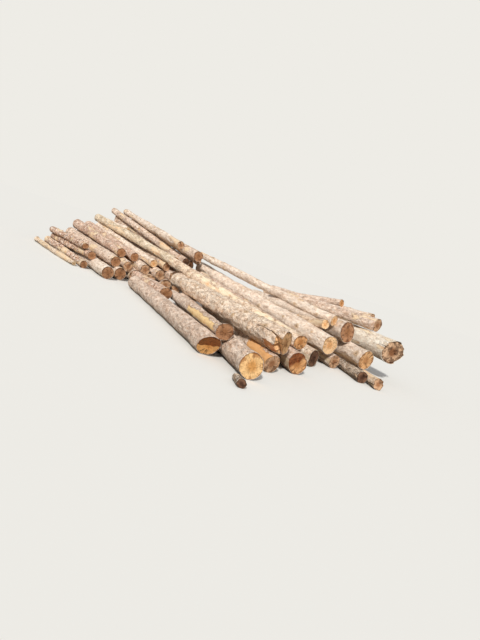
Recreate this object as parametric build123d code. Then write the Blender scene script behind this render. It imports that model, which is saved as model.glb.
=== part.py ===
from build123d import *
import os
from collections import namedtuple
from math import radians, tan

import numpy as np

os.makedirs("parts", exist_ok=True)

# Driving sizes in millimetres and degrees. X runs along the stack towards the sawn ends that face
# the viewer, Y across it to the right, Z up. Each log is given by the plan positions of its two
# ends, and is laid from the ground up on whatever lies below it.
seat_gap = 0.3          # left between a log and the one it rests on
sides = 20              # flats round a log
out_of_round = 0.025    # part by which a log is wider one way than the other
butt_swell = 1.06       # root flare of a thick end
swell_length = 0.07     # part of the length over which the flare dies away
section_places = 0.0, swell_length, 0.36, 0.68, 1.0     # parts of the length
laying_rounds = 4       # times a log's tilt is worked out again from where it touches
stub_sides = 7          # flats round a branch stub

# The butt log that split when it fell: a slab hangs on along its lower left side.
slab_angle = 326.0      # round the log, counted from its left side over the top
slab_depth = 78.0       # slot's distance from the axis
slot_width = 16.0
slot_length = 640.0
slab_short = 40.0       # how far the slab is broken off behind the middle of the cut
splinter_length = 45.0  # of the points left standing on its broken end
splinter_width = 100.0

# Drying cracks in the ragged end of the thickest log: angle, width, depth into the end
cracks = ((20, 14, 240), (140, 18, 300), (255, 12, 180))
overrun = 300.0         # by which a cutter passes beyond what it cuts

Log = namedtuple("Log", "name near far near_diameter far_diameter bow slant skew swell knots")


def log(name, near, far, near_diameter, far_diameter, bow=0.0, slant=0.0, skew=0.0,
        swell=butt_swell, knots=()):
    return Log(name, near, far, near_diameter, far_diameter, bow, slant, skew, swell, knots)


# bow is the sideways sweep of the axis at mid length, slant and skew the angles of the near cut
# from top to bottom and from side to side. A knot is (part of the length, angle round the log,
# diameter, height above the bark).
logs = [
    # front group, on the ground
    log("left_ground_log", (3890, -575), (-820, -725), 330, 290, bow=-30, slant=-33, skew=20),
    log("front_ground_log", (4500, -220), (20, 165), 350, 320, bow=25, slant=6),
    log("torn_bark_ground_log", (3990, 410), (-380, 935), 280, 240, slant=-5, skew=-20),
    log("shaded_ground_log", (3715, 1005), (-550, 1150), 340, 300, slant=4),
    log("dark_end_ground_log", (3010, 1860), (-900, 1720), 320, 280, bow=20, slant=4, skew=-26),
    log("inner_ground_log_1", (2200, 2180), (-1500, 2050), 310, 300),
    log("red_end_ground_log", (2700, 2520), (-1200, 2420), 260, 240, slant=-6, skew=-5),
    log("bearer_log", (3350, 2690), (2000, 2930), 200, 180, bow=8),
    log("right_ground_log", (3620, 2860), (1900, 3300), 200, 170, slant=8),
    log("right_base_log", (2100, 3660), (-1900, 3600), 380, 340),
    log("inner_ground_log_2", (1800, 3080), (-1900, 3050), 200, 220),
    log("short_billet", (4900, -520), (4620, -470), 110, 100),
    # back group, on the ground
    log("back_left_ground_log", (-1240, -1270), (-5600, -1980), 300, 330, bow=20),
    log("back_second_ground_log", (-1600, -920), (-6000, -1620), 300, 330),
    log("back_base_log_1", (-1900, -500), (-6400, -1220), 310, 380),
    log("back_base_log_2", (-1800, -150), (-6500, -820), 310, 380),
    log("back_base_log_3", (-1700, 250), (-6400, -410), 310, 380),
    log("back_base_log_4", (-1900, 620), (-6500, 0), 320, 380),
    log("back_base_log_5", (-1450, 1080), (-6300, 410), 310, 380),
    log("outer_thin_log", (-2000, -1930), (-4950, -2720), 120, 140, bow=40),
    log("outer_branchy_log", (-2000, -1720), (-5300, -2420), 180, 200,
        bow=-30,
        knots=((0.3, 60, 60, 45), (0.55, 150, 50, 40), (0.8, 80, 60, 50))),
    # second layer
    log("brown_end_log", (650, -410), (-1720, -530), 240, 220, slant=-8),
    log("stub_end_log", (3790, -410), (45, -90), 200, 190,
        swell=1.12, slant=-12,
        knots=((0.035, 75, 90, 45),)),
    log("split_butt_log", (4090, 535), (-595, 155), 395, 330, slant=6, skew=-36),
    log("reddish_inner_log", (2900, 1450), (-1200, 900), 240, 260),
    log("right_second_log", (3060, 2930), (-1100, 3020), 350, 320, slant=-6, skew=-8),
    log("back_shaded_log", (-1700, -1080), (-5900, -1800), 260, 300),
    log("branchy_log_2", (-2100, -1580), (-5500, -2250), 200, 220,
        bow=30,
        knots=((0.25, 135, 60, 50), (0.5, 125, 50, 45), (0.75, 150, 60, 40))),
    log("back_second_log_1", (-1900, -720), (-6400, -1420), 260, 330),
    log("back_second_log_2", (-1800, -320), (-6400, -1020), 260, 360),
    log("back_second_log_3", (-1700, 50), (-6400, -610), 260, 360),
    log("back_second_log_4", (-1800, 440), (-6400, -200), 280, 360),
    log("back_second_log_5", (-1500, 1120), (-6300, 250), 320, 360),
    log("pale_ragged_log", (3395, 1160), (-1390, 155), 250, 240, bow=20, skew=10),
    log("long_smooth_log", (2770, 2240), (-2020, 1125), 330, 300,
        bow=15, slant=4, skew=8,
        knots=((0.42, 95, 70, 12), (0.2, 80, 75, 12))),
    log("cracked_end_log", (2950, 3600), (-1600, 3660), 460, 400, slant=-6, skew=6),
    log("branchy_log_3", (-2300, -1750), (-5400, -2350), 170, 180,
        bow=-20,
        knots=((0.4, 60, 50, 50), (0.7, 110, 50, 45))),
    # upper layers
    log("reddish_back_log", (-2200, -560), (-6400, -1290), 230, 260),
    log("reddish_flank_log", (-2250, -900), (-6200, -1640), 250, 290),
    log("back_flank_log", (-1950, -120), (-6350, -980), 210, 250),
    log("back_third_log_1", (-2000, 240), (-6400, -560), 230, 360),
    log("back_third_log_2", (-1900, 620), (-6400, -100), 260, 360),
    log("upper_butt_log", (2520, 2760), (-1700, 2700), 410, 370, slant=10, skew=-12),
    log("upper_right_log", (2205, 3665), (-585, 2555), 280, 240, skew=6),
    log("green_back_log", (-1650, 290), (-6505, -1065), 220, 240),
    log("back_fourth_log_1", (-3200, 300), (-6400, -440), 220, 290),
    log("back_fourth_log_2", (-1800, 740), (-6300, 100), 240, 320),
    log("thin_back_log", (-4700, -399), (-6500, -800), 140, 160),
    log("dark_end_back_log", (-1525, 535), (-6520, -630), 200, 200, slant=8),
    log("back_fourth_log_3", (-1650, 860), (-6200, 100), 200, 200),
    log("rough_end_log", (-1030, 620), (-5785, -105), 240, 220, slant=6),
    log("top_back_log", (-1635, 310), (-6335, -280), 200, 200, bow=20),
    log("pale_end_log", (2445, 2195), (-655, 2350), 180, 160),
    log("long_crooked_log", (2280, 2495), (-1775, 935), 200, 160, bow=60),
    log("upper_thin_log", (1840, 3760), (-1320, 2800), 200, 180,
        knots=((0.19, 40, 60, 12), (0.19, 110, 55, 12), (0.19, 170, 60, 12))),
    log("top_thin_log", (1120, 3420), (-100, 3000), 170, 140, knots=((0.95, 90, 60, 25),)),
]


def rings(item, near_z, far_z):
    """Corners of a log's sections, as sections x sides x 3, with its ends at the given heights."""
    near, far = np.array((*item.near, near_z)), np.array((*item.far, far_z))
    length = np.linalg.norm(far - near)
    along = (far - near) / length
    across = np.cross((0, 0, 1), along)
    across /= np.linalg.norm(across)
    up = np.cross(along, across)
    turn = np.linspace(0, 2 * np.pi, sides, endpoint=False)
    spoke = np.outer(np.cos(turn), across) + np.outer(np.sin(turn), up)
    spoke *= 1 + out_of_round * np.cos(2 * turn + len(item.name))[:, None]
    sections = []
    for part in section_places:
        radius = (item.near_diameter * (1 - part) + item.far_diameter * part) / 2
        thick_end = 0.0 if item.near_diameter >= item.far_diameter else 1.0
        if part == thick_end:
            radius *= item.swell
        sweep = 4 * part * (1 - part) * item.bow
        sections.append(near + along * length * part + across * sweep + spoke * radius)
    corners = np.array(sections)
    # The near cut is slanted by sliding each corner along its own edge of the log, so that every
    # flat stays flat.
    lean = tan(radians(item.slant)), tan(radians(item.skew))
    inset = item.near_diameter / 2 * item.swell * np.hypot(*lean)
    cut = along - lean[0] * up - lean[1] * across
    edge = corners[1] - corners[0]
    slide = (near + along * inset - corners[0]) @ cut / (edge @ cut)
    corners[0] += edge * slide[:, None]
    return corners


def edges(corners):
    """Both ends of every edge of a log: those along it and those round its sections."""
    lengthwise = corners[:-1], corners[1:]
    round_about = corners, np.roll(corners, 1, axis=1)
    return [np.concatenate([a.reshape(-1, 3), b.reshape(-1, 3)])
            for a, b in zip(lengthwise, round_about)]


def facets(corners):
    """The triangles of a log's bark, as three arrays of corners."""
    a, b = corners[:-1].reshape(-1, 3), corners[1:].reshape(-1, 3)
    c = np.roll(corners, 1, axis=1)[1:].reshape(-1, 3)
    d = np.roll(corners, 1, axis=1)[:-1].reshape(-1, 3)
    return np.concatenate([a, a]), np.concatenate([b, c]), np.concatenate([c, d])


def plan_cross(a, b):
    return a[..., 0] * b[..., 1] - a[..., 1] * b[..., 0]


def edge_rises(upper, lower):
    """Plan spots where the edges of two logs cross, with the rise the upper log needs there."""
    (p, p_end), (q, q_end) = edges(upper), edges(lower)
    r, s = (p_end - p)[:, None], (q_end - q)[None]
    between = q[None] - p[:, None]
    with np.errstate(divide="ignore", invalid="ignore"):
        t = plan_cross(between, s) / plan_cross(r, s)
        u = plan_cross(between, r) / plan_cross(r, s)
    i, j = np.nonzero((t >= 0) & (t <= 1) & (u >= 0) & (u <= 1))
    on_upper = p[i] + r[i, 0] * t[i, j, None]
    on_lower = q[j] + s[0, j] * u[i, j, None]
    return on_upper[:, :2], on_lower[:, 2] - on_upper[:, 2]


def corner_heights(points, corners):
    """Plan spots of the points that lie over or under a log's flats, with both heights."""
    a, b, c = (corner[None] for corner in facets(corners))
    spot = points[:, None]
    whole = plan_cross(b - a, c - a)
    with np.errstate(divide="ignore", invalid="ignore"):
        v = plan_cross(spot - a, c - a) / whole
        w = plan_cross(b - a, spot - a) / whole
    i, j = np.nonzero((v >= 0) & (w >= 0) & (v + w <= 1))
    part_v, part_w = v[i, j], w[i, j]
    height = a[0, j, 2] + part_v * (b - a)[0, j, 2] + part_w * (c - a)[0, j, 2]
    return points[i, :2], points[i, 2], height


def rises(upper, lower):
    """Every plan spot at which the upper log could touch the lower, with the rise it needs."""
    spots, rise = edge_rises(upper, lower)
    own_spots, own_height, under = corner_heights(upper.reshape(-1, 3), lower)
    low_spots, low_height, over = corner_heights(lower.reshape(-1, 3), upper)
    return (np.concatenate([spots, own_spots, low_spots]),
            np.concatenate([rise, under - own_height, low_height - over]) + seat_gap)


def rest_line(place, need, middle):
    """The straight line that passes over every needed height and is lowest at the middle."""
    hull = []
    for x, z in sorted(zip(place, need)):
        while len(hull) > 1:
            (x1, z1), (x2, z2) = hull[-2:]
            if (z2 - z1) * (x - x1) > (z - z1) * (x2 - x1):
                break
            hull.pop()
        hull.append((x, z))
    last = next(k for k, (x, z) in enumerate(hull) if x > middle)
    (x1, z1), (x2, z2) = hull[last - 1], hull[last]
    slope = (z2 - z1) / (x2 - x1)
    return z1 - slope * x1, z1 + slope * (1 - x1)


def apart(upper, lower):
    """True if two logs are clear of each other in plan."""
    return ((upper.min((0, 1)) > lower.max((0, 1)))[:2].any()
            or (lower.min((0, 1)) > upper.max((0, 1)))[:2].any())


def settle(item, laid):
    """Heights of the ends of a log that lies on the ground and on the logs laid before it."""
    near, along = np.array(item.near), np.array(item.far) - np.array(item.near)
    near_z = far_z = 0.0
    middle = 0.5 - 0.16 * (item.near_diameter - item.far_diameter) / item.near_diameter
    for _ in range(laying_rounds):
        corners = rings(item, near_z, far_z)
        flat = corners.reshape(-1, 3)
        spots, need = [flat[:, :2]], [-flat[:, 2]]
        for lower in laid:
            if not apart(corners, lower):
                where, rise = rises(corners, lower)
                spots.append(where)
                need.append(rise)
        place = (np.concatenate(spots) - near) @ along / (along @ along)
        height = np.concatenate(need) + near_z + (far_z - near_z) * place
        near_z, far_z = rest_line(place, height, middle)
    return near_z, far_z


def flat_face(points):
    return make_face(Polyline(*[tuple(point) for point in points], close=True))


def make_log(item, near_z, far_z):
    """One log, closed from its flats and its two sawn ends, with its branch stubs."""
    corners = rings(item, near_z, far_z)
    faces = [flat_face(corners[0]), flat_face(corners[-1])]
    for ring, after in zip(corners[:-1], corners[1:]):
        for k in range(sides):
            step = (k + 1) % sides
            faces.append(flat_face((ring[k], ring[step], after[step], after[k])))
    body = Solid(Shell(faces))
    for part, angle, diameter, height in item.knots:
        radius = (item.near_diameter * (1 - part) + item.far_diameter * part) / 2
        frame = log_frame(item, near_z, far_z, part)
        stub = frame * Rot(0, 0, angle) * Rot(0, 90, 0)
        wide = stub * Pos(0, 0, radius * 0.7) * RegularPolygon(diameter * 0.75, stub_sides)
        tip = stub * Pos(0, 0, radius + height) * RegularPolygon(diameter / 2, stub_sides)
        body += loft([wide, tip], ruled=True)
    return body


def log_frame(item, near_z, far_z, part):
    """Place on the axis at a part of the length: Z along the log, X to its left, Y up."""
    corners = rings(item, near_z, far_z)
    centres = corners.mean(1)
    centre = [float(np.interp(part, section_places, centres[:, axis])) for axis in range(3)]
    chord = Vector(*item.far, far_z) - Vector(*item.near, near_z)
    across = Vector(0, 0, 1).cross(chord)
    return Plane(origin=centre, x_dir=across, z_dir=chord)


def tear_slab(body, frame):
    """Splits a slab off the side of a butt log and breaks its free end short."""
    side = frame * Rot(0, 0, slab_angle)
    slot = Box(slot_width, 2 * overrun, slot_length + overrun,
               align=(Align.MIN, Align.CENTER, Align.MIN))
    body -= side * Pos(slab_depth, 0, -overrun) * slot
    # Seen from the side, the broken end runs zigzag along the grain.
    half = splinter_width / 2
    zigzag = [(slab_short, -overrun), (slab_short - splinter_length, -half), (slab_short, 0),
              (slab_short - splinter_length, half), (slab_short, overrun)]
    outline = Polyline((-overrun, -overrun), *zigzag, (-overrun, overrun), close=True)
    broken = extrude(Plane.YZ * Rot(0, 0, 90) * make_face(outline), amount=overrun)
    return body - side * Pos(slab_depth + slot_width, 0, 0) * broken


def crack_end(body, frame, radius):
    """Cuts tapering drying cracks into a sawn end, from the bark towards the heart."""
    for angle, width, depth in cracks:
        outline = Polyline((radius * 0.15, 0), (radius * 1.3, -width / 2),
                           (radius * 1.3, width / 2), close=True)
        wedge = frame * Rot(0, 0, angle) * Pos(0, 0, -overrun) * make_face(outline)
        body -= extrude(wedge, amount=depth + overrun, dir=frame.z_dir)
    return body


laid, heights = [], {}
for item in logs:
    heights[item.name] = settle(item, laid)
    laid.append(rings(item, *heights[item.name]))

solids = {item.name: make_log(item, *heights[item.name]) for item in logs}
by_name = {item.name: item for item in logs}
for name, work in (("split_butt_log", tear_slab), ("cracked_end_log", crack_end)):
    frame = log_frame(by_name[name], *heights[name], 0.0)
    extra = (by_name[name].near_diameter / 2,) if work is crack_end else ()
    solids[name] = work(solids[name], frame, *extra)

boxes = [solid.bounding_box() for solid in solids.values()]
low = [min(getattr(box.min, axis) for box in boxes) for axis in "XYZ"]
high = [max(getattr(box.max, axis) for box in boxes) for axis in "XYZ"]
shift = Pos(-(low[0] + high[0]) / 2, -(low[1] + high[1]) / 2, -low[2])
for name, solid in solids.items():
    export_step(shift * solid, f"parts/{name}.step")
print("size", [round(b - a) for a, b in zip(low, high)])
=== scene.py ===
import math
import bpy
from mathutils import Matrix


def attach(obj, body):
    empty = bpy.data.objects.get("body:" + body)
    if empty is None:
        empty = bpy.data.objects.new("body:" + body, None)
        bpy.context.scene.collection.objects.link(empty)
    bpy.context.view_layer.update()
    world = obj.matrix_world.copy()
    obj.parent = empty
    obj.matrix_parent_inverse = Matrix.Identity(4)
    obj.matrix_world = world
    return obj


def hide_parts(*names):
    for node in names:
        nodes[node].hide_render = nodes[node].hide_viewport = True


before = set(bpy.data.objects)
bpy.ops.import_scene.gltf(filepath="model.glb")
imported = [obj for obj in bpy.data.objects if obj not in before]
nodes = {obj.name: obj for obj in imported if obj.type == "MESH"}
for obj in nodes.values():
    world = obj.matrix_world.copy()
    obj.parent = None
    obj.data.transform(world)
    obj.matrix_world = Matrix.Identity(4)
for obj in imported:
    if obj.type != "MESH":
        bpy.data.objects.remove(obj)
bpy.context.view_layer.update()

import zlib

import bpy
import numpy as np
from mathutils import Matrix, Vector
from mathutils.bvhtree import BVHTree

mmPerMetre, metresPerMm = 1000, 0.001


def barkKind(light, middle, dark, flake, relief, thick, cracks, flecks):
    return {"light": light, "middle": middle, "dark": dark, "flake": flake, "relief": relief,
            "thick": thick, "cracks": cracks, "flecks": flecks}


# Bark of each kind: light, middle and dark colours, how large its flakes are in millimetres and
# how deep they stand, how thick the bark is where it has come off, and how strong its seams and
# its pale and dark flecks are.
barks = {
    "smoothSpruce": barkKind("F2DDCC", "DDC3B0", "A58874", 24, 1.8, 5, 0.3, 0.6),
    "creamSpruce": barkKind("FCEEDF", "F0DBC8", "BC9E86", 28, 1.6, 5, 0.25, 0.45),
    "paleCream": barkKind("FFF8EA", "FFF1DF", "DCC5AB", 30, 1.6, 5, 0.25, 0.3),
    "fineFlaky": barkKind("FCE9D8", "E8CDB7", "A8856C", 17, 3.4, 7, 0.5, 0.7),
    "roughFlaky": barkKind("FDEDD9", "ECD0B6", "A07E63", 22, 5.5, 9, 0.6, 0.7),
    "raggedPale": barkKind("FAE8D2", "ECD1B6", "B08A6A", 34, 4.5, 8, 0.35, 0.6),
    "reddish": barkKind("F0D5C2", "D9B59E", "8E6752", 20, 4.0, 7, 0.5, 0.75),
    "weathered": barkKind("D4C2AE", "A8937E", "5E4D40", 18, 4.5, 7, 0.6, 0.7),
    "greenish": barkKind("F5E7D0", "E3CFB0", "9C8A68", 24, 3.0, 6, 0.35, 0.6),
    "broken": barkKind("F2D6C2", "C8A189", "6C4837", 30, 4.0, 7, 0.8, 1.0),
}


def sawnEnd(outer, heart, stain, stained, rim):
    return {"outer": outer, "heart": heart, "stain": stain, "stained": stained, "rim": rim}


# Sawn ends: outer wood, heart, the stain, the share of the face that it runs over, and the rim.
sawnEnds = {
    "golden": sawnEnd("FACD92", "DCA05E", "A4693A", 0.35, "A06C40"),
    "bright": sawnEnd("FFD6A6", "F2B67C", "C2844E", 0.35, "C99E6A"),
    "orange": sawnEnd("E8B07A", "C88A54", "7C4A26", 0.45, "8A5A38"),
    "felled": sawnEnd("FFC07A", "FFB369", "B06832", 0.2, "8A5230"),
    "weatheredGold": sawnEnd("F0BE8A", "D29A68", "8E5E38", 0.45, "80583A"),
    "tan": sawnEnd("E8CBA6", "D0A87C", "9A7448", 0.3, "906D4B"),
    "redBrown": sawnEnd("DDB28D", "AE7B57", "64402A", 0.5, "6E4A34"),
    "plainBrown": sawnEnd("BC8C68", "A5744F", "6A432C", 0.45, "7A5238"),
    "checked": sawnEnd("E6BE9A", "9A6A48", "4E3020", 0.6, "5A3A26"),
    "darkBrown": sawnEnd("86624C", "5B3E2F", "2F1D13", 0.55, "43301F"),
}


def look(bark, end, peeled=0.1, size="distant", knots=(), wood="EFDDC2", whorls=0.0, ragged=5,
         paintedShadeAbove=None, lumps=7, strips=()):
    return {"bark": bark, "end": end, "peeled": peeled, "size": size, "knots": knots,
            "wood": wood, "whorls": whorls, "ragged": ragged, "paintedShadeAbove": paintedShadeAbove,
            "lumps": lumps, "strips": strips}


# Each log's bark, sawn end, share of stripped bark (-1 for none) and mesh density. A knot is metres
# from the near end, angle round the log from its left side over the top, radius and height in
# millimetres. A strip of bare wood runs between two distances from the near end, at an angle, and
# reaches so many degrees to either side. Two sawn faces carry painted shade over a line: the
# painted shadow of the split butt on shaded_ground_log, and on left_ground_log the painted shade of
# a notch cut that its face lacks. The numbers are the line's height above the heart and how softly
# the shade ends, in millimetres, and how steeply the line falls to the left. Whorls, ragged and
# lumps are how much of each the log has.
logLooks = {
    "left_ground_log": look("smoothSpruce", "felled", -1, "close", paintedShadeAbove=(2, 8, 0.15)),
    "front_ground_log": look("fineFlaky", "golden", -1, "close", lumps=9),
    "torn_bark_ground_log": look("fineFlaky", "redBrown", 0.2, "close", wood="F0B87E", lumps=9,
                                 strips=((-0.1, 0.95, 25, 48),)),
    "shaded_ground_log": look("reddish", "orange", 0.05, "close", paintedShadeAbove=(10, 60, 0.8)),
    "dark_end_ground_log": look("roughFlaky", "darkBrown", 0.15, "close"),
    "red_end_ground_log": look("smoothSpruce", "redBrown", 0.15, "close"),
    "bearer_log": look("weathered", "darkBrown", 0.1, "middle"),
    "right_ground_log": look("raggedPale", "redBrown", 0.45, "middle", ragged=16),
    "right_base_log": look("smoothSpruce", "tan", 0.1, "middle"),
    "short_billet": look("weathered", "darkBrown", 0.2, "distant"),
    "stub_end_log": look("fineFlaky", "plainBrown", -1, "close", wood="FFE2AC", ragged=14,
                         lumps=9, knots=((0.06, 300, 50, 18),), strips=((0.25, 1.9, 4, 32),)),
    "split_butt_log": look("roughFlaky", "weatheredGold", -1, "close", whorls=1.0, lumps=15,
                           ragged=8, wood="DD9A70", strips=((0.0, 0.42, 318, 24),),
                           knots=((0.57, 40, 75, 16), (1.3, 60, 60, 14))),
    "reddish_inner_log": look("reddish", "darkBrown", 0.15, "middle"),
    "pale_ragged_log": look("raggedPale", "orange", 0.12, "close", wood="FFF3DA", ragged=10,
                            lumps=10, strips=((0.75, 1.25, 40, 34), (1.9, 2.6, 70, 40))),
    "long_smooth_log": look("creamSpruce", "bright", -0.1, "close", wood="F6E6CC", whorls=1.0,
                            lumps=11, knots=((0.83, 8, 70, 16), (1.27, 19, 45, 8),
                                             (2.08, 344, 75, 18))),
    "right_second_log": look("creamSpruce", "weatheredGold", 0.16, "close", ragged=22,
                             knots=((0.17, 20, 85, 14),)),
    "cracked_end_log": look("paleCream", "checked", 0.1, "close", wood="F6EAD2", ragged=36,
                            lumps=8),
    "upper_butt_log": look("creamSpruce", "plainBrown", 0.1, "close"),
    "upper_right_log": look("smoothSpruce", "redBrown", 0.1, "middle", ragged=9),
    "upper_thin_log": look("creamSpruce", "redBrown", 0.1, "middle", whorls=1.0),
    "top_thin_log": look("smoothSpruce", "orange", 0.15, "middle"),
    "pale_end_log": look("raggedPale", "bright", 0.4, "middle"),
    "long_crooked_log": look("creamSpruce", "bright", 0.2, "middle", whorls=0.6, lumps=8),
    "brown_end_log": look("reddish", "plainBrown", 0.1, "middle"),
    "rough_end_log": look("smoothSpruce", "plainBrown", 0.15, "middle", whorls=0.6, ragged=14),
    "top_back_log": look("creamSpruce", "redBrown", 0.1, "middle", whorls=0.5),
    "dark_end_back_log": look("smoothSpruce", "darkBrown", 0.12, "middle"),
    "green_back_log": look("greenish", "orange", 0.0, "middle"),
    "thin_back_log": look("creamSpruce", "tan", 0.2),
    "back_flank_log": look("creamSpruce", "bright", 0.2, "middle"),
    "reddish_back_log": look("reddish", "plainBrown", 0.1, "middle", lumps=8),
    "reddish_flank_log": look("reddish", "plainBrown", 0.1, "distant", lumps=8),
    "back_shaded_log": look("fineFlaky", "plainBrown", 0.1),
    "back_left_ground_log": look("creamSpruce", "plainBrown", 0.05),
    "back_second_ground_log": look("creamSpruce", "plainBrown", 0.05),
    "outer_thin_log": look("raggedPale", "tan", 0.3),
    "outer_branchy_log": look("broken", "plainBrown", 0.15, whorls=1.0),
    "branchy_log_2": look("broken", "plainBrown", 0.15, whorls=1.0),
    "branchy_log_3": look("broken", "plainBrown", 0.15, whorls=1.0),
}
hiddenLook = look("fineFlaky", "redBrown", 0.1, "hidden")


def srgb(code):
    channels = [int(code[k:k + 2], 16) / 255 for k in (0, 2, 4)]
    linear = (c / 12.92 if c <= 0.04045 else ((c + 0.055) / 1.055) ** 2.4 for c in channels)
    return (*linear, 1.0)


# A hex code, or a grey given as a number.
def toned(value):
    return srgb(value) if isinstance(value, str) else (value, value, value, 1.0)


def smoothStep(low, high, value):
    part = np.clip((value - low) / (high - low), 0, 1)
    return part * part * (3 - 2 * part)


# Smooth noise from -1 to 1. Each corner of the cell a point is in has its own value, which comes
# from mixing the bits of its place and the seed with large primes.
def valueNoise(points, seed):
    base = np.floor(points).astype(np.int64)
    near = points - base
    near = near * near * (3 - 2 * near)
    total = np.zeros(len(points))
    for corner in np.ndindex(2, 2, 2):
        spot = base + np.array(corner)
        mixed = spot[:, 0] * 73856093 ^ spot[:, 1] * 19349663 ^ spot[:, 2] * 83492791
        mixed ^= seed * 40503
        mixed = (mixed ^ mixed >> 13) * 1274126177 & 0xffffffff
        mixed = (mixed ^ mixed >> 16) & 0xffff
        share = np.prod(np.where(corner, near, 1 - near), axis=1)
        total += share * (mixed / 32767.5 - 1)
    return total


def layeredNoise(points, seed, layers):
    return sum(valueNoise(points * 2 ** k, seed + k) / 2 ** k for k in range(layers))


def clearSelection():
    if bpy.context.object and bpy.context.object.mode != "OBJECT":
        bpy.ops.object.mode_set(mode="OBJECT")
    bpy.ops.object.select_all(action="DESELECT")


def makeActive(piece):
    clearSelection()
    piece.select_set(True)
    bpy.context.view_layer.objects.active = piece


def editWhole(piece):
    makeActive(piece)
    bpy.ops.object.mode_set(mode="EDIT")
    bpy.ops.mesh.select_all(action="SELECT")


def faceOutward():
    bpy.ops.mesh.select_all(action="SELECT")
    bpy.ops.mesh.normals_make_consistent(inside=False)
    bpy.ops.object.mode_set(mode="OBJECT")


def meshPoints(mesh):
    flat = np.empty(len(mesh.vertices) * 3)
    mesh.vertices.foreach_get("co", flat)
    return flat.reshape(-1, 3)


def nodeTriangles(node):
    mesh = node.data
    mesh.calc_loop_triangles()
    corners = np.array([v.co for v in mesh.vertices])
    triangles = np.array([t.vertices for t in mesh.loop_triangles])
    return corners, triangles


# How a log is read from its solid: a face belongs to a sawn end if it faces that squarely along
# the log and is within that many metres of its last corner. Sections are measured at parts of the
# length by rays cast all round, and hits that stray from the usual radius by more than a spread are
# left out, one spread for each pass.
reading = {
    "squarely": 0.75, "endReach": 0.4, "rays": 36, "rayLength": 1.0, "spreads": (0.3, 0.12, 0.12),
    "parts": (0.045, 0.065, 0.12, 0.2, 0.3, 0.4, 0.5, 0.6, 0.7, 0.8, 0.9, 0.95, 0.975),
}


# Reads a log's own axis, radius and sawn planes from its solid, so that the bark follows them.
class LogShape:
    def __init__(self, node):
        corners, triangles = nodeTriangles(node)
        self.middle = corners.mean(0)
        spread = np.linalg.svd(corners - self.middle, full_matrices=False)[2][0]
        self.along = -spread * np.sign(spread[0])
        self.across = np.cross((0, 0, 1), self.along)
        self.across /= np.linalg.norm(self.across)
        self.up = np.cross(self.along, self.across)
        reach = (corners - self.middle) @ self.along
        self.start, self.end = reach.min(), reach.max()
        self.nearPlane = self.sawnPlane(corners, triangles, -1, self.start)
        self.farPlane = self.sawnPlane(corners, triangles, 1, self.end)
        self.measure(BVHTree.FromPolygons(corners.tolist(), triangles.tolist()))

    # The largest flat face at one end, as a point and the way that it faces.
    def sawnPlane(self, corners, triangles, side, limit):
        a, b, c = (corners[triangles[:, k]] for k in range(3))
        doubled = np.cross(b - a, c - a)
        area = np.linalg.norm(doubled, axis=1)
        normal = doubled / np.maximum(area, 1e-12)[:, None]
        centre = (a + b + c) / 3
        place = (centre - self.middle) @ self.along
        square = normal @ self.along * side > reading["squarely"]
        groups = {}
        for k in np.flatnonzero(square & (np.abs(place - limit) < reading["endReach"])):
            groups.setdefault(tuple(np.round(normal[k], 2)), []).append(k)
        chosen = max(groups.values(), key=lambda group: area[group].sum())
        weight = area[chosen][:, None]
        point = (centre[chosen] * weight).sum(0) / weight.sum()
        facing = (normal[chosen] * weight).sum(0)
        return point, facing / np.linalg.norm(facing)

    # Distances from a spot near the axis out to the bark.
    def castRound(self, solid, place, shift, turns):
        centre = self.middle + self.along * place + self.across * shift[0] + self.up * shift[1]
        hits = []
        for turn in turns:
            ray = self.across * math.cos(turn) + self.up * math.sin(turn)
            gap = solid.ray_cast(Vector(centre), Vector(ray), reading["rayLength"])[3]
            hits.append(gap if gap else np.nan)
        return np.array(hits)

    def measure(self, solid):
        parts = np.array(reading["parts"])
        places = self.start + (self.end - self.start) * parts
        turns = np.linspace(0, 2 * np.pi, reading["rays"], endpoint=False)
        offsets, radii, ovals = [], [], []
        shift = np.zeros(2)
        for place in places:
            for spread in reading["spreads"]:
                hits = self.castRound(solid, place, shift, turns)
                usual = np.nanmedian(hits)
                good = np.abs(hits - usual) < usual * spread
                x, y = hits[good] * np.cos(turns[good]), hits[good] * np.sin(turns[good])
                circle = np.stack([2 * x, 2 * y, np.ones(len(x))], 1)
                shift = shift + np.linalg.lstsq(circle, x * x + y * y, rcond=None)[0][:2]
            twice = 2 * turns[good]
            waves = np.stack([np.ones(good.sum()), np.cos(twice), np.sin(twice)], 1)
            oval = np.linalg.lstsq(waves, hits[good], rcond=None)[0]
            offsets.append(shift)
            radii.append(oval[0])
            ovals.append(oval[1:] / oval[0])
        self.oval = np.median(ovals, axis=0)
        # The axis is a smooth curve through the centres, and the root flare goes on to the end.
        offsets = np.array(offsets)
        scaled = (places - self.start) / (self.end - self.start)
        self.curves = [np.polyfit(scaled, offsets[:, k], 3) for k in range(2)]
        flare = (radii[0] - radii[1]) / (parts[1] - parts[0])
        taper = (radii[-1] - radii[-2]) / (parts[-1] - parts[-2])
        self.places = np.concatenate([[self.start], places, [self.end]])
        first, last = radii[0] + flare * parts[0], radii[-1] + taper * (1 - parts[-1])
        self.radii = np.array([first, *radii, last])

    def centre(self, place):
        part = (place - self.start) / (self.end - self.start)
        x, y = (np.polyval(curve, part) for curve in self.curves)
        return (self.middle + np.multiply.outer(place, self.along)
                + np.multiply.outer(x, self.across) + np.multiply.outer(y, self.up))

    def radius(self, place, turn):
        wave = 1 + self.oval[0] * np.cos(2 * turn) + self.oval[1] * np.sin(2 * turn)
        return np.interp(place, self.places, self.radii) * wave

    def spoke(self, turn):
        return (np.multiply.outer(np.cos(turn), self.across)
                + np.multiply.outer(np.sin(turn), self.up))

    # Place along the axis at which a line beside it meets a sawn plane.
    def planeAt(self, plane, turn, radius, guess):
        point, normal = plane
        beside = self.centre(np.full(len(turn), guess)) + self.spoke(turn) * radius[:, None]
        return guess + (point - beside) @ normal / (self.along @ normal)


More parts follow.
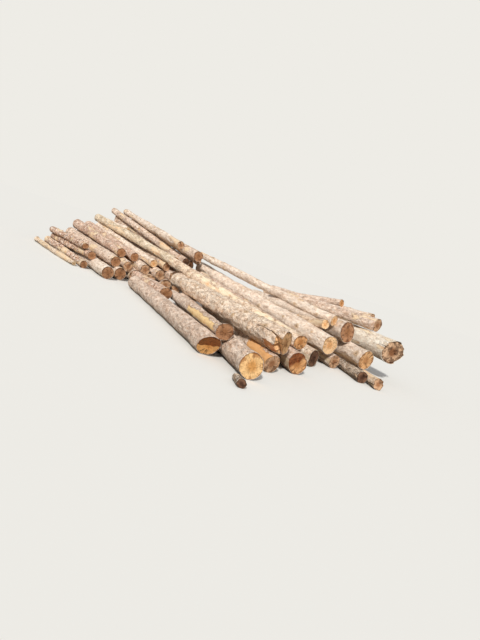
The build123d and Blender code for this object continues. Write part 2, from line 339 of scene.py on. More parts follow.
# Noise that shapes the bark: the size of its forms in millimetres across, up and along the log (for
# flakes, in flakes of the bark), its layers and what it adds to the seed.
reliefNoise = {
    "wavy": {"size": (200, 200, 420), "layers": 3, "seed": 0},
    "flakes": {"size": (1.6, 1.6, 3.6), "layers": 3, "seed": 11},
    "stripped": {"size": (110, 110, 480), "layers": 4, "seed": 23},
    "stripEdge": {"size": (70, 70, 150), "layers": 3, "seed": 3},
}
# Metres that the bark stands out for each step of a log's lumps and of its bark's relief, how the
# share of stripped bark turns into patches, and how a strip's edge wanders.
barkForm = {"lump": 0.0015, "flake": 0.0013, "peelGain": 1.25, "peelStart": 0.62, "edgeWidth": 0.05,
            "stripWander": 0.45, "stripDepth": 0.8}
# A knot is a swelling with a dip in it: how fast each dies away, and how deep the dip is.
knotForm = {"stretch": 0.8, "swelling": 1.6, "dip": 0.75, "dipWidth": 14}
# Whorls of branch scars: metres from the end to the first and between them, knots in each, degrees
# between those, how far they stray, and their radius and height in millimetres.
whorlForm = {"first": (0.25, 0.6), "apart": (0.45, 0.7), "count": (3, 5), "turn": 83,
             "stray": 0.04, "radius": (34, 58), "height": (12, 24), "clearEnd": 0.2}


# The settled knots, and whorls of branch scars every half metre or so where the log has them.
def logKnots(shape, settings, seed):
    knots = list(settings["knots"])
    if not settings["whorls"]:
        return knots
    draw = np.random.default_rng(seed)
    fromEnd = draw.uniform(*whorlForm["first"])
    while fromEnd < shape.end - shape.start - whorlForm["clearEnd"]:
        first = draw.uniform(0, 360)
        for k in range(draw.integers(*whorlForm["count"])):
            place = fromEnd + draw.uniform(-whorlForm["stray"], whorlForm["stray"])
            radius = draw.uniform(*whorlForm["radius"])
            height = draw.uniform(*whorlForm["height"]) * settings["whorls"]
            knots.append((place, first + k * whorlForm["turn"], radius, height))
        fromEnd += draw.uniform(*whorlForm["apart"])
    return knots


def barkNoise(title, inLog, seed, scale=1):
    noise = reliefNoise[title]
    cell = np.array(noise["size"]) * scale
    return layeredNoise(inLog / cell, seed + noise["seed"], noise["layers"])


# Angle between two places round a log, from -pi to pi.
def turnedFrom(turn, degrees):
    return (turn - math.radians(degrees) + np.pi) % (2 * np.pi) - np.pi


# How far the surface stands out at a place on the bark, in metres, and the share of stripped bark
# and of knot there.
def surfaceRelief(shape, settings, seed, place, turn):
    bark, form = barks[settings["bark"]], barkForm
    radius = shape.radius(place, turn)
    fromStart = place - shape.start
    inLog = np.stack([np.cos(turn) * radius, np.sin(turn) * radius, fromStart], 1) * mmPerMetre
    stripped = (barkNoise("stripped", inLog, seed) + form["peelGain"] * settings["peeled"]
                - form["peelStart"])
    for first, last, angle, half in settings["strips"]:
        around = np.abs(turnedFrom(turn, angle)) / math.radians(half)
        along = np.abs(fromStart - (first + last) / 2) / (last - first) * 2
        edge = np.maximum(around, along ** 3)
        edge += form["stripWander"] * barkNoise("stripEdge", inLog, seed)
        stripped = np.maximum(stripped, (1 - edge) * form["stripDepth"])
    gone = smoothStep(-form["edgeWidth"], form["edgeWidth"], stripped)
    flakes = barkNoise("flakes", inLog, seed, bark["flake"])
    height = settings["lumps"] * form["lump"] * barkNoise("wavy", inLog, seed)
    height += bark["relief"] * form["flake"] * flakes * (1 - gone)
    height -= bark["thick"] * metresPerMm * gone
    knotty = np.zeros(len(place))
    for fromEnd, angle, size, rise in logKnots(shape, settings, seed):
        beside = turnedFrom(turn, angle) * radius
        beyond = (fromStart - fromEnd) * knotForm["stretch"]
        away = np.hypot(beside, beyond) * mmPerMetre / size
        bulge = np.exp(-away ** 2 * knotForm["swelling"])
        dip = knotForm["dip"] * np.exp(-away ** 2 * knotForm["dipWidth"])
        height += rise * metresPerMm * (bulge - dip)
        knotty = np.maximum(knotty, bulge)
    return height, stripped, knotty


# Mesh density of a log: sides round it, cuts made along it in two passes, and rings on its near and
# far end.
detail = {
    "close": {"sides": 72, "cuts": (14, 13), "nearRings": 12, "farRings": 4},
    "middle": {"sides": 56, "cuts": (12, 11), "nearRings": 8, "farRings": 4},
    "distant": {"sides": 40, "cuts": (9, 9), "nearRings": 6, "farRings": 4},
    "hidden": {"sides": 30, "cuts": (7, 6), "nearRings": 4, "farRings": 3},
}
# Shares of the radius at which the first and last ring of each end lie. In metres: how far in from
# an end the slant of its cut still shows, how far in the rim is torn, and how deep the saw marks
# are. The rim is torn from tornFrom of the radius outwards, and more outwards than in.
endForm = {"nearRings": (0.12, 0.99), "farRings": (0.99, 0.2), "slantReach": 0.4, "tornReach": 0.06,
           "tornFrom": 0.93, "tornLean": 0.15, "sawDepth": 0.0012}


# A unit cylinder with one fan at each end, cut into rows along it in two passes.
def cutCylinder(name, size):
    clearSelection()
    bpy.ops.mesh.primitive_cylinder_add(vertices=size["sides"], radius=1, depth=2,
                                        end_fill_type="TRIFAN")
    piece = bpy.context.object
    piece.name = piece.data.name = name + "_bark"
    corners = piece.data.vertices
    for cuts in size["cuts"]:
        bpy.ops.object.mode_set(mode="EDIT")
        bpy.ops.mesh.select_all(action="DESELECT")
        bpy.ops.object.mode_set(mode="OBJECT")
        for edge in piece.data.edges:
            a, b = (corners[k].co.z for k in edge.vertices)
            edge.select = abs(a - b) > 0.01    # it runs along the cylinder
        bpy.ops.object.mode_set(mode="EDIT")
        bpy.ops.mesh.subdivide(number_cuts=cuts)
        bpy.ops.object.mode_set(mode="OBJECT")
    return piece


# A cylinder whose rows are laid over the near end, along the bark and over the far end.
def barkedLog(name, shape, settings):
    size = detail[settings["size"]]
    nearRings, farRings = size["nearRings"], size["farRings"]
    piece = cutCylinder(name, size)
    rowCount = (size["cuts"][0] + 1) * (size["cuts"][1] + 1) + 1
    sections = rowCount - nearRings - farRings
    flat = meshPoints(piece.data)
    hub = np.hypot(flat[:, 0], flat[:, 1]) < 0.01
    turn = np.arctan2(flat[:, 1], flat[:, 0])
    row = np.rint((flat[:, 2] + 1) / 2 * (rowCount - 1)).astype(int)

    # Each row's share of the radius, and how far along the log it lies.
    share = np.concatenate([np.linspace(*endForm["nearRings"], nearRings), np.ones(sections),
                            np.linspace(*endForm["farRings"], farRings)])[row]
    share[hub] = 0
    spacing = np.concatenate([np.zeros(nearRings), np.linspace(0, 1, sections),
                              np.ones(farRings)])[row]
    seed = zlib.crc32(name.encode()) % 9973    # the same for a log in every run

    length = shape.end - shape.start
    place = shape.start + spacing * length
    radius = shape.radius(place, turn)
    nearFace = shape.planeAt(shape.nearPlane, turn, radius * share, shape.start)
    farFace = shape.planeAt(shape.farPlane, turn, radius * share, shape.end)
    nearSlant = np.clip(1 - spacing * length / endForm["slantReach"], 0, 1)
    farSlant = np.clip(1 - (1 - spacing) * length / endForm["slantReach"], 0, 1)
    place = place + (nearFace - shape.start) * nearSlant + (farFace - shape.end) * farSlant
    height = surfaceRelief(shape, settings, seed, place, turn)[0]
    radius = shape.radius(place, turn) + height

    marks = valueNoise(np.stack([turn * 3, share * 9, share * 0], 1), seed + 5)
    onEnd = (share < 1) * np.where(spacing < 0.5, 1, -1)
    place = place + onEnd * np.abs(endForm["sawDepth"] * marks)
    # Bark stands past the saw cut in torn tongues.
    roundRim = np.stack([np.cos(turn) * 3, np.sin(turn) * 3, share * 0], 1)
    torn = layeredNoise(roundRim, seed + 41, 4) + endForm["tornLean"]
    fading = np.clip(1 - spacing * length / endForm["tornReach"], 0, 1)
    nearRim = smoothStep(endForm["tornFrom"], 1.0, share) * fading * (spacing < 0.5)
    place = place - settings["ragged"] * metresPerMm * torn * nearRim
    points = shape.centre(place) + shape.spoke(turn) * (radius * share)[:, None]
    piece.data.vertices.foreach_set("co", points.ravel())
    piece.data.update()
    editWhole(piece)
    faceOutward()
    return piece, seed


# Where each corner lies in the log: millimetres across, up and along, its share of the radius, and
# the stripping and knots there. The materials follow these.
def writeLogSpace(piece, shape, settings, seed):
    points = meshPoints(piece.data)
    place = (points - shape.middle) @ shape.along
    beside = points - shape.centre(place)
    x, y = beside @ shape.across, beside @ shape.up
    turn, away = np.arctan2(y, x), np.hypot(x, y)
    height, stripped, knotty = surfaceRelief(shape, settings, seed, place, turn)
    rim = away / (shape.radius(place, turn) + height)
    for title, value in (("rim", rim), ("stripped", stripped), ("knotty", knotty)):
        attribute = piece.data.attributes.new(title, "FLOAT", "POINT")
        attribute.data.foreach_set("value", value.astype(np.float32))
    inLog = np.stack([x, y, place - shape.start], 1) * mmPerMetre
    attribute = piece.data.attributes.new("logSpace", "FLOAT_VECTOR", "POINT")
    attribute.data.foreach_set("vector", inLog.astype(np.float32).ravel())


def cutAway(piece, cutters):
    for cutter in cutters:
        makeActive(piece)
        cut = piece.modifiers.new("cut", "BOOLEAN")
        cut.operation, cut.solver, cut.object = "DIFFERENCE", "EXACT", cutter
        bpy.ops.object.modifier_apply(modifier=cut.name)
        bpy.data.objects.remove(cutter, do_unlink=True)


# A frame on the axis at the near end: X out at an angle round the log, Z along it.
def endFrame(shape, angle):
    spoke = shape.spoke(np.array([math.radians(angle)]))[0]
    side = np.cross(shape.along, spoke)
    matrix = Matrix((spoke, side, shape.along)).transposed().to_4x4()
    matrix.translation = Vector(shape.centre(np.array([shape.start]))[0])
    return matrix


def cutterBlock(frameMatrix, low, high):
    clearSelection()
    bpy.ops.mesh.primitive_cube_add(size=1)
    block = bpy.context.object
    middle = [(a + b) / 2 for a, b in zip(low, high)]
    scale = [b - a for a, b in zip(low, high)]
    block.data.transform(frameMatrix @ Matrix.Translation(middle) @ Matrix.Diagonal((*scale, 1)))
    return block


# The slab torn off the side of the split butt, in metres and degrees, as in the solid. Its broken
# end reaches back by breakAt and by the splinters, which stand at places to either side of its
# middle. The last five are the cutters' own sizes, which take them clear of the log.
tornSlab = {"angle": 326, "depth": 0.078, "width": 0.016, "length": 0.78, "breakAt": 0.13,
            "splinterPlaces": (0, 0.05, 0.3), "splinters": (0.045, 0, 0.045), "rough": 0.02,
            "roughCuts": 40, "frontSize": 0.6, "halfHeight": 0.4, "inFront": 0.2,
            "outside": 0.3, "frontDepth": 0.5}


# The slab hangs on at its far end: a slot frees it, and its own near end is broken off short.
def splitButt(piece, shape):
    slab = tornSlab
    turned = endFrame(shape, slab["angle"])
    slot = cutterBlock(turned, (slab["depth"], -slab["halfHeight"], -slab["inFront"]),
                       (slab["depth"] + slab["width"], slab["halfHeight"], slab["length"]))
    clearSelection()
    bpy.ops.mesh.primitive_grid_add(x_subdivisions=1, y_subdivisions=slab["roughCuts"],
                                    size=slab["frontSize"])
    front = bpy.context.object
    draw = np.random.default_rng(7)
    outer = slab["depth"] + slab["width"] / 2
    for corner in front.data.vertices:
        sideways = corner.co.y
        splinter = np.interp(abs(sideways), slab["splinterPlaces"], slab["splinters"])
        reach = slab["breakAt"] + splinter + slab["rough"] * draw.random()
        corner.co = (outer if corner.co.x < 0 else outer + slab["outside"], sideways, reach)
    editWhole(front)
    towardsEnd = {"value": (0, 0, -slab["frontDepth"])}
    bpy.ops.mesh.extrude_region_move(TRANSFORM_OT_translate=towardsEnd)
    faceOutward()
    front.data.transform(turned)
    cutAway(piece, (slot, front))


# The cracks in the widest end, in degrees and metres, as in the solid: they run in from past the
# bark to a share of the radius, and narrow towards the heart and the far end.
cracksInEnd = {"turns": (20, 140, 255), "widths": (0.014, 0.018, 0.012),
               "depths": (0.24, 0.30, 0.18), "past": 1.2, "heart": 0.15, "heartWidth": 0.05,
               "deepWidth": 0.3, "inFront": 0.2}


def crackEnd(piece, shape):
    sizes = cracksInEnd
    reach = shape.radii[0] * sizes["past"]
    for turn, width, depth in zip(sizes["turns"], sizes["widths"], sizes["depths"]):
        wedge = cutterBlock(Matrix.Identity(4), (sizes["heart"] * reach, -width, -sizes["inFront"]),
                            (reach, width, depth))
        for corner in wedge.data.vertices:
            if corner.co.x < reach * 0.5:
                corner.co.y *= sizes["heartWidth"]
            if corner.co.z > 0:
                corner.co.y *= sizes["deepWidth"]
        wedge.data.transform(endFrame(shape, turn))
        cutAway(piece, (wedge,))


def addNode(tree, kind, settings=None, links=None):
    node = tree.nodes.new(kind)
    for key, value in (settings or {}).items():
        if isinstance(key, str) and hasattr(node, key):
            setattr(node, key, value)
        else:
            node.inputs[key].default_value = value
    for key, source in (links or {}).items():
        tree.links.new(source, node.inputs[key])
    return node


def emptyTree(owner):
    owner.use_nodes = True
    owner.node_tree.nodes.clear()
    return owner.node_tree


# Noise of the materials: the size of its forms in millimetres (for flecks, in flakes of the bark),
# how many times as long they are along the log, octaves, roughness, and turn in radians.
patterns = {
    "broad": (190, 2.0, 3.0, 0.55, 0.0),
    "mottled": (75, 1.5, 4.0, 0.6, 0.3),
    "lumps": (44, 1.6, 6.0, 0.62, 0.0),
    "seamBreaks": (60, 2, 4.0, 0.55, 0.0),
    "darkFlecks": (2.6, 1.5, 6.0, 0.7, 0.0),
    "paleFlecks": (2.3, 1.4, 6.0, 0.72, 0.7),
    "scratches": (120, 0.7, 2.0, 0.55, 0.0),
    "scratchBreaks": (260, 1.0, 1.0, 0.5, 0.4),
    "streaks": (12, 14, 4.0, 0.55, 0.0),
    "fibres": (5, 40, 3.0, 0.55, 0.0),
    "resin": (60, 3, 4.0, 0.55, 0.0),
    "torn": (30, 4, 5.0, 0.7, 0.0),
    "scars": (12, 1, 4.0, 0.55, 0.0),
    "heart": (110, 1, 2.0, 0.55, 0.0),
    "blotches": (48, 1, 6.0, 0.65, 0.0),
    "stains": (85, 1, 5.0, 0.6, 0.0),
    "crackBreaks": (60, 1, 2.0, 0.55, 0.0),
    # The ragged edge and the grain of the painted shade on some sawn ends:
    "paintedShadeEdge": (55, 1, 5.0, 0.55, 0.0),
    "paintedShadeGrain": (24, 1, 4.0, 0.55, 0.0),
}
# The values between which each layer fades, and its strength at either.
fades = {
    "seams": (0.02, 0.14, 1.0, 0.0), "seamBreaks": (0.42, 0.58, 0.0, 1.0),
    "darkFlecks": (0.54, 0.63, 0.0, 1.0), "paleFlecks": (0.53, 0.6, 0.0, 1.0),
    "scratches": (0.0, 0.024, 1.0, 0.0), "scratchBreaks": (0.42, 0.54, 0.0, 1.0),
    "resin": (0.5, 0.7, 0.0, 0.6), "innerBark": (-0.07, 0.0, 0.0, 0.55),
    "bare": (-0.012, 0.02, 0.0, 1.0), "scars": (0.3, 0.65, 0.0, 0.7),
    "knotHearts": (0.88, 0.97, 0.0, 0.75), "cracks": (0.002, 0.010, 0.8, 0.0),
    "crackBreaks": (0.45, 0.55, 0.0, 1.0), "face": (0.955, 0.975, 1.0, 0.0),
    "roughness": (0.3, 0.7, 0.7, 0.92),
}
# Stops of the ramps, each a hex code or a grey.
ramps = {
    "mottled": ((0.36, "D9C3AF"), (0.5, 1.0), (0.66, 1.1)),
    "plates": ((0.0, "DBC4AF"), (0.3, 1.0), (1.0, 1.16)),
    "streaks": ((0.3, "E2D2C2"), (0.55, 1.06)),
    "scars": ((0.34, "A67C56"), (0.5, "D9B488"), (0.66, "F0DAB8")),
    "rings": ((0.2, 0.5), (0.7, 1.0)),
    "blotches": ((0.36, 0.62), (0.56, 1.12)),
    "sawing": ((0.0, 0.6), (1.0, 1.0)),
    # Colours of the painted shade on some sawn ends, dark red-brown:
    "paintedShadeGrain": ((0.35, "421A0C"), (0.65, "8C4420")),
}
paints = {"paleFlecks": "FFF4E8", "scratches": "FFF0DC", "fibres": "D2A672", "resin": "DE9E5E",
          "innerBark": "B07A52", "knotHearts": "6E4A30", "cracks": "3E2717"}
# Share of a layer in the mix, where it is the same all over. The last is the painted shade on some
# sawn ends.
shares = {"lighter": 0.35, "scratches": 0.75, "streaks": 0.4, "wood": 0.65, "rings": 0.18,
          "blotches": 0.7, "stains": 0.7, "sawing": 0.16, "paintedShadeAbove": 0.85}
# Places along a ramp of a bark's dark, middle and light, of fibres and bare wood, and of a sawn
# end's heart, outer wood (twice) and rim.
stops = {"bark": (0.22, 0.42, 0.62), "wood": (0.3, 0.62), "end": (0.25, 0.6, 0.9, 0.98)}
# How strongly each layer stands out in the bump, which is so many metres deep.
bumps = {"seams": -0.8, "lumps": 2.4, "plates": 0.5, "fibres": 0.5, "rings": 0.06, "cracks": -1.0,
         "depth": 0.012}
# Bark plates and growth rings wander: the noise's scale per millimetre, and how many millimetres
# it moves them.
wander = {"plates": {"scale": 0.03, "reach": (16, 16, 16)},
          "rings": {"scale": 0.014, "reach": (24, 24, 0)}}
# Plates are longer along the log. Rings are drawn wider than the real 3 to 5 mm, to show. Stains
# start at a value of their noise, less the more the end is stained, and shift towards the rim. The
# edge of the painted shade on some sawn ends wanders by so many millimetres.
forms = {"plateLength": 0.55, "tornEdge": 0.9, "ringWidth": 10, "heartEdge": 0.4,
         "sawArcs": (0.42, 0.16), "stainFrom": 0.68, "stainGain": 0.3, "stainSoft": 0.07,
         "stainOutward": 0.12, "cracksRound": 1.3, "paintedShadeEdge": 110}
gloss = {"IOR": 1.45, "Specular IOR Level": 0.2}


# The nodes of one log's material. Its patterns lie in the log's own space, in millimetres.
class LogNodes:
    def __init__(self, tree, seed):
        self.tree, self.seed = tree, seed
        self.inLog = self.read("logSpace", "Vector")
        self.offset = (seed * 37.0 % 900, seed * 53.0 % 900, 0)

    def add(self, kind, settings=None, links=None):
        return addNode(self.tree, "ShaderNode" + kind, settings, links)

    def read(self, title, output="Fac"):
        return self.add("Attribute", {"attribute_name": title}).outputs[output]

    def plug(self, socket, value):
        if isinstance(value, (int, float, tuple)):
            socket.default_value = value
        else:
            self.tree.links.new(value, socket)

    def mapped(self, source, scale, turned=0.0):
        return self.add("Mapping", {"Location": self.offset, "Scale": scale,
                        "Rotation": (turned, 0, 0)}, {"Vector": source}).outputs["Vector"]

    def noise(self, source, scale, octaves, rough=0.5, output="Fac"):
        return self.add("TexNoise", {"Scale": scale, "Detail": octaves, "Roughness": rough},
                        {"Vector": source}).outputs[output]

    def pattern(self, title, unit=1):
        size, stretch, octaves, rough, turned = patterns[title]
        size = unit * size
        scale = (1 / size, 1 / size, 1 / (size * stretch))
        return self.noise(self.mapped(self.inLog, scale, turned), 1.0, octaves, rough)

    # The log's space, with each place moved by coloured noise.
    def wandering(self, title):
        shift = self.noise(self.inLog, wander[title]["scale"], 3.0, output="Color")
        return self.add("VectorMath", {"operation": "MULTIPLY_ADD", 1: wander[title]["reach"]},
                        {0: shift, 2: self.inLog}).outputs[0]

    def split(self, source):
        return self.add("SeparateXYZ", links={"Vector": source}).outputs

    def maths(self, operation, *values):
        node = self.add("Math", {"operation": operation})
        for k, value in enumerate(values):
            self.plug(node.inputs[k], value)
        return node.outputs[0]

    def times(self, first, second):
        return self.maths("MULTIPLY", first, second)

    # Noise is 0.5 on average: how far it is from that, made larger or smaller.
    def centred(self, value, gain):
        return self.times(self.maths("SUBTRACT", value, 0.5), gain)

    def nearHalf(self, value):
        return self.maths("ABSOLUTE", self.maths("SUBTRACT", value, 0.5))

    # A sine, brought to between 0 and 1.
    def wave(self, sine):
        return self.maths("MULTIPLY_ADD", sine, 0.5, 0.5)

    def between(self, value, low, high, start=0.0, end=1.0):
        return self.add("MapRange", {"From Min": low, "From Max": high, "To Min": start,
                        "To Max": end}, {"Value": value}).outputs[0]

    def fade(self, title, value):
        return self.between(value, *fades[title])

    def ramp(self, factor, marked):
        node = self.add("ValToRGB", links={"Fac": factor})
        marks, marked = node.color_ramp.elements, list(marked)
        while len(marks) < len(marked):
            marks.new(0.5)
        for mark, (place, value) in zip(marks, marked):
            mark.position, mark.color = place, toned(value)
        return node.outputs["Color"]

    def mix(self, factor, first, second, blend="MIX"):
        node = self.add("Mix", {"data_type": "RGBA", "blend_type": blend})
        for socket, value in ((0, factor), (6, first), (7, second)):
            self.plug(node.inputs[socket], srgb(value) if isinstance(value, str) else value)
        return node.outputs[2]

    # The colour made darker or lighter by a ramp over a pattern.
    def shade(self, factor, colour, title, pattern):
        return self.mix(factor, colour, self.ramp(pattern, ramps[title]), "MULTIPLY")


# Bark: broad weathering, then plates of differing tone, dark seams, and pale and dark flecks.
def barkLayers(make, bark):
    flecks, flake = bark["flecks"], bark["flake"]
    broad = make.pattern("broad")
    colour = make.ramp(broad, zip(stops["bark"], (bark["dark"], bark["middle"], bark["light"])))
    colour = make.mix(shares["lighter"], colour, bark["light"])
    colour = make.shade(flecks, colour, "mottled", make.pattern("mottled"))
    flakeMap = make.mapped(make.wandering("plates"),
                           (1 / flake, 1 / flake, forms["plateLength"] / flake))
    tone = make.add("TexVoronoi", {"Scale": 1.0}, {"Vector": flakeMap}).outputs["Color"]
    plateTone = make.split(tone)["X"]
    colour = make.shade(flecks, colour, "plates", plateTone)
    toEdge = make.add("TexVoronoi", {"feature": "DISTANCE_TO_EDGE", "Scale": 1.0},
                      {"Vector": flakeMap}).outputs["Distance"]
    seams = make.times(make.fade("seams", toEdge),
                       make.fade("seamBreaks", make.pattern("seamBreaks")))
    colour = make.mix(make.times(seams, bark["cracks"]), colour, bark["dark"])
    for title, paint in (("darkFlecks", bark["dark"]), ("paleFlecks", paints["paleFlecks"])):
        spots = make.fade(title, make.pattern(title, flake))
        colour = make.mix(make.times(spots, flecks), colour, paint)
    # Scratches from dragging: thin pale lines that wander along and round the log.
    scratch = make.fade("scratches", make.nearHalf(make.pattern("scratches")))
    scratch = make.times(scratch, make.fade("scratchBreaks", make.pattern("scratchBreaks")))
    colour = make.mix(make.times(scratch, shares["scratches"]), colour, paints["scratches"])
    colour = make.shade(shares["streaks"], colour, "streaks", make.pattern("streaks"))
    relief = make.maths("MULTIPLY_ADD", make.pattern("lumps"), bumps["lumps"],
                        make.times(plateTone, bumps["plates"]))
    relief = make.maths("ADD", make.times(seams, bumps["seams"]), relief)
    return colour, relief, make.fade("roughness", broad)


# Stripped wood: long pale fibres, with brown inner bark left at the edges of each patch, and the
# scars of knots over both.
def sideLayers(make, wood, barkColour):
    fibres = make.pattern("fibres")
    woodColour = make.ramp(fibres, zip(stops["wood"], (paints["fibres"], wood)))
    woodColour = make.mix(shares["wood"], wood, woodColour)
    woodColour = make.mix(make.fade("resin", make.pattern("resin")), woodColour, paints["resin"])
    ragged = make.maths("ADD", make.read("stripped"),
                        make.centred(make.pattern("torn"), forms["tornEdge"]))
    bare = make.fade("bare", ragged)
    colour = make.mix(make.fade("innerBark", ragged), barkColour, paints["innerBark"])
    colour = make.mix(bare, colour, woodColour)
    knotty = make.read("knotty")
    scars = make.ramp(make.pattern("scars"), ramps["scars"])
    colour = make.mix(make.fade("scars", knotty), colour, scars)
    colour = make.mix(make.fade("knotHearts", knotty), colour, paints["knotHearts"])
    return colour, bare, make.times(fibres, bumps["fibres"])


# Sawn end: rings about the pith, a darker heart, blotches, stains, saw marks and drying cracks, and
# on some ends painted shade over a line.
def endLayers(make, end, paintedShadeAbove, rim):
    place = make.split(make.wandering("rings"))
    x, y = place["X"], place["Y"]
    fromPith = make.maths("SQRT", make.maths("ADD", make.times(x, x), make.times(y, y)))
    rings = make.maths("SINE", make.times(fromPith, 2 * math.pi / forms["ringWidth"]))
    uneven = make.maths("ADD", rim, make.centred(make.pattern("heart"), forms["heartEdge"]))
    fromHeart = end["heart"], end["outer"], end["outer"], end["rim"]
    colour = make.ramp(uneven, zip(stops["end"], fromHeart))
    colour = make.shade(shares["rings"], colour, "rings", make.wave(rings))
    colour = make.shade(shares["blotches"], colour, "blotches", make.pattern("blotches"))
    low = forms["stainFrom"] - forms["stainGain"] * end["stained"]
    stain = make.maths("MULTIPLY_ADD", make.maths("SUBTRACT", rim, 0.5), forms["stainOutward"],
                       make.pattern("stains"))
    stain = make.between(stain, low, low + forms["stainSoft"])
    colour = make.mix(make.times(stain, shares["stains"]), colour, end["stain"])
    # Chainsaw marks run as faint arcs across the face.
    acrossLog, upLog = forms["sawArcs"]
    across = make.maths("MULTIPLY_ADD", x, acrossLog, make.times(y, upLog))
    sawing = make.wave(make.maths("SINE", across))
    colour = make.shade(shares["sawing"], colour, "sawing", sawing)
    # Drying cracks: the few places where noise round the heart crosses one value.
    flat = make.add("CombineXYZ", links={"X": x, "Y": y}).outputs[0]
    direction = make.add("VectorMath", {"operation": "NORMALIZE"}, {0: flat}).outputs[0]
    direction = make.add("VectorMath", {"operation": "ADD", 1: (make.seed % 17, make.seed % 13, 0)},
                         {0: direction}).outputs[0]
    spokes = make.noise(direction, forms["cracksRound"], 3.0)
    crack = make.times(make.fade("cracks", make.nearHalf(spokes)),
                       make.fade("crackBreaks", make.pattern("crackBreaks")))
    colour = make.mix(crack, colour, paints["cracks"])
    # Painted shade over a ragged line on the face: the painted shadow of a log above, or the
    # painted shade of a notch cut that is not modelled.
    if paintedShadeAbove is not None:
        line, soft, fall = paintedShadeAbove
        height = make.maths("MULTIPLY_ADD", x, fall, y)
        ragged = make.centred(make.pattern("paintedShadeEdge"), forms["paintedShadeEdge"])
        height = make.maths("ADD", height, ragged)
        dark = make.between(height, line, line + soft, 0.0, shares["paintedShadeAbove"])
        colour = make.mix(dark, colour, make.ramp(make.pattern("paintedShadeGrain"), ramps["paintedShadeGrain"]))
    relief = make.maths("MULTIPLY_ADD", rings, bumps["rings"], make.times(crack, bumps["cracks"]))
    return colour, relief


# Spruce and pine in the round. Dry bark and sawn wood are dull.
def logMaterial(name, settings, seed):
    material = bpy.data.materials.new(f"{settings['bark']}Bark_{name}")
    make = LogNodes(emptyTree(material), seed)
    rim = make.read("rim")
    onFace = make.fade("face", rim)
    barkColour, barkRelief, roughness = barkLayers(make, barks[settings["bark"]])
    sideColour, bare, woodRelief = sideLayers(make, settings["wood"], barkColour)
    endColour, endRelief = endLayers(make, sawnEnds[settings["end"]], settings["paintedShadeAbove"], rim)
    relief = make.mix(onFace, make.mix(bare, barkRelief, woodRelief), endRelief)
    bump = make.add("Bump", {"Strength": 1.0, "Distance": bumps["depth"]}, {"Height": relief})
    colour = make.mix(onFace, sideColour, endColour)
    shader = make.add("BsdfPrincipled", gloss, {"Base Color": colour, "Roughness": roughness,
                                                "Normal": bump.outputs[0]})
    make.add("OutputMaterial", links={"Surface": shader.outputs[0]})
    return material


# Logs that have more than bark and two sawn ends.
cutsByName = {"split_butt_log": splitButt, "cracked_end_log": crackEnd}
smoothAngle = math.radians(50)

bpy.context.tool_settings.mesh_select_mode = (False, True, False)    # cutCylinder picks edges
total = 0
for name in sorted(nodes):
    settings = logLooks.get(name, hiddenLook)
    shape = LogShape(nodes[name])
    piece, seed = barkedLog(name, shape, settings)
    if name in cutsByName:
        cutsByName[name](piece, shape)
    writeLogSpace(piece, shape, settings, seed)
    piece.data.materials.clear()
    piece.data.materials.append(logMaterial(name, settings, seed))
    makeActive(piece)
    bpy.ops.object.shade_smooth_by_angle(angle=smoothAngle)
    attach(piece, "root")
    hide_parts(name)
    piece.data.calc_loop_triangles()
    total += len(piece.data.loop_triangles)
print("logs", len(nodes), "triangles", total)

# The key is a large soft lamp high on the left front, far enough off to light the stack evenly. The
# floor looks pale to the camera, but throws as little light back up into the stack as soil does.
lights = {"from": (0.66, -0.50, 0.56), "away": 12, "softness": 5.0, "strength": 3.3,
          "tint": (1.0, 0.965, 0.91), "roomStrength": 0.42, "roomTint": (0.98, 0.985, 1.0),
          "backdrop": "EEECE6", "floorSeen": "EDEDEA", "floorBounce": "7F7C74", "floorSize": 120}


# One shader for what the camera sees and another for all other light.
def seenOrNot(tree, kind, unseen, seen):
    isCamera = addNode(tree, "ShaderNodeLightPath").outputs["Is Camera Ray"]
    shaders = [addNode(tree, kind, values).outputs[0] for values in (unseen, seen)]
    return addNode(tree, "ShaderNodeMixShader",
                   links={0: isCamera, 1: shaders[0], 2: shaders[1]}).outputs[0]


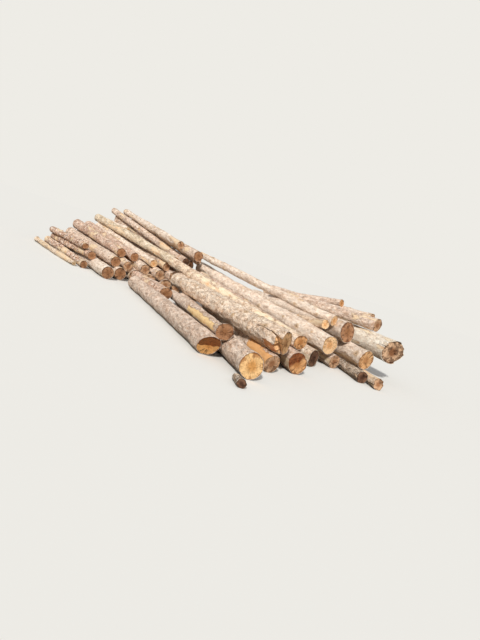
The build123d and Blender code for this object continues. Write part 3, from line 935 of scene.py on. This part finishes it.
def floorMaterial():
    material = bpy.data.materials.new("paleMattFloor")
    tree = emptyTree(material)
    surface = seenOrNot(tree, "ShaderNodeBsdfDiffuse", {"Color": srgb(lights["floorBounce"])},
                        {"Color": srgb(lights["floorSeen"])})
    addNode(tree, "ShaderNodeOutputMaterial", links={"Surface": surface})
    return material


clearSelection()
bpy.ops.mesh.primitive_plane_add(size=lights["floorSize"], location=(0, 0, 0))
floor = bpy.context.object
floor.name = "floor"
floor.data.materials.append(floorMaterial())
print("floor", lights["floorSize"], "m wide")

world = bpy.data.worlds.new("softRoom")
bpy.context.scene.world = world
tree = emptyTree(world)
surface = seenOrNot(tree, "ShaderNodeBackground",
                    {"Color": (*lights["roomTint"], 1.0), "Strength": lights["roomStrength"]},
                    {"Color": srgb(lights["backdrop"]), "Strength": 1.0})
addNode(tree, "ShaderNodeOutputWorld", links={"Surface": surface})

lamp = bpy.data.lights.new("key", "SUN")
lamp.angle = math.radians(lights["softness"])
lamp.energy, lamp.color = lights["strength"], lights["tint"]
holder = bpy.data.objects.new("key", lamp)
bpy.context.scene.collection.objects.link(holder)
holder.location = Vector(lights["from"]) * lights["away"]
holder.rotation_euler = Vector(lights["from"]).to_track_quat("Z", "Y").to_euler()

# The eye looks along the stack from its left front, tipped down and rolled as the photo was taken:
# metres, degrees and pixels.
camera = {"place": (10.676, -3.875, 1.6), "heading": 27.0, "pitchDown": 8.0, "roll": 18.4,
          "focalPixels": 480, "imageHeight": 640, "sensorHeight": 24}

lens = bpy.data.cameras.new("camera")
lens.sensor_fit = "VERTICAL"
lens.sensor_height = camera["sensorHeight"]
lens.lens = camera["sensorHeight"] * camera["focalPixels"] / camera["imageHeight"]
eye = bpy.data.objects.new("camera", lens)
bpy.context.scene.collection.objects.link(eye)
heading = math.radians(90 - camera["heading"])
ahead = Vector((-math.sin(heading), math.cos(heading), 0))
pitch, roll = math.radians(camera["pitchDown"]), math.radians(camera["roll"])
turned = ahead.to_track_quat("-Z", "Y").to_matrix()
turned = turned @ Matrix.Rotation(-pitch, 3, "X") @ Matrix.Rotation(roll, 3, "Z")
eye.matrix_world = Matrix.Translation(camera["place"]) @ turned.to_4x4()
bpy.context.scene.camera = eye
bpy.context.scene.view_settings.view_transform = "Standard"
print("room, key light and camera set")
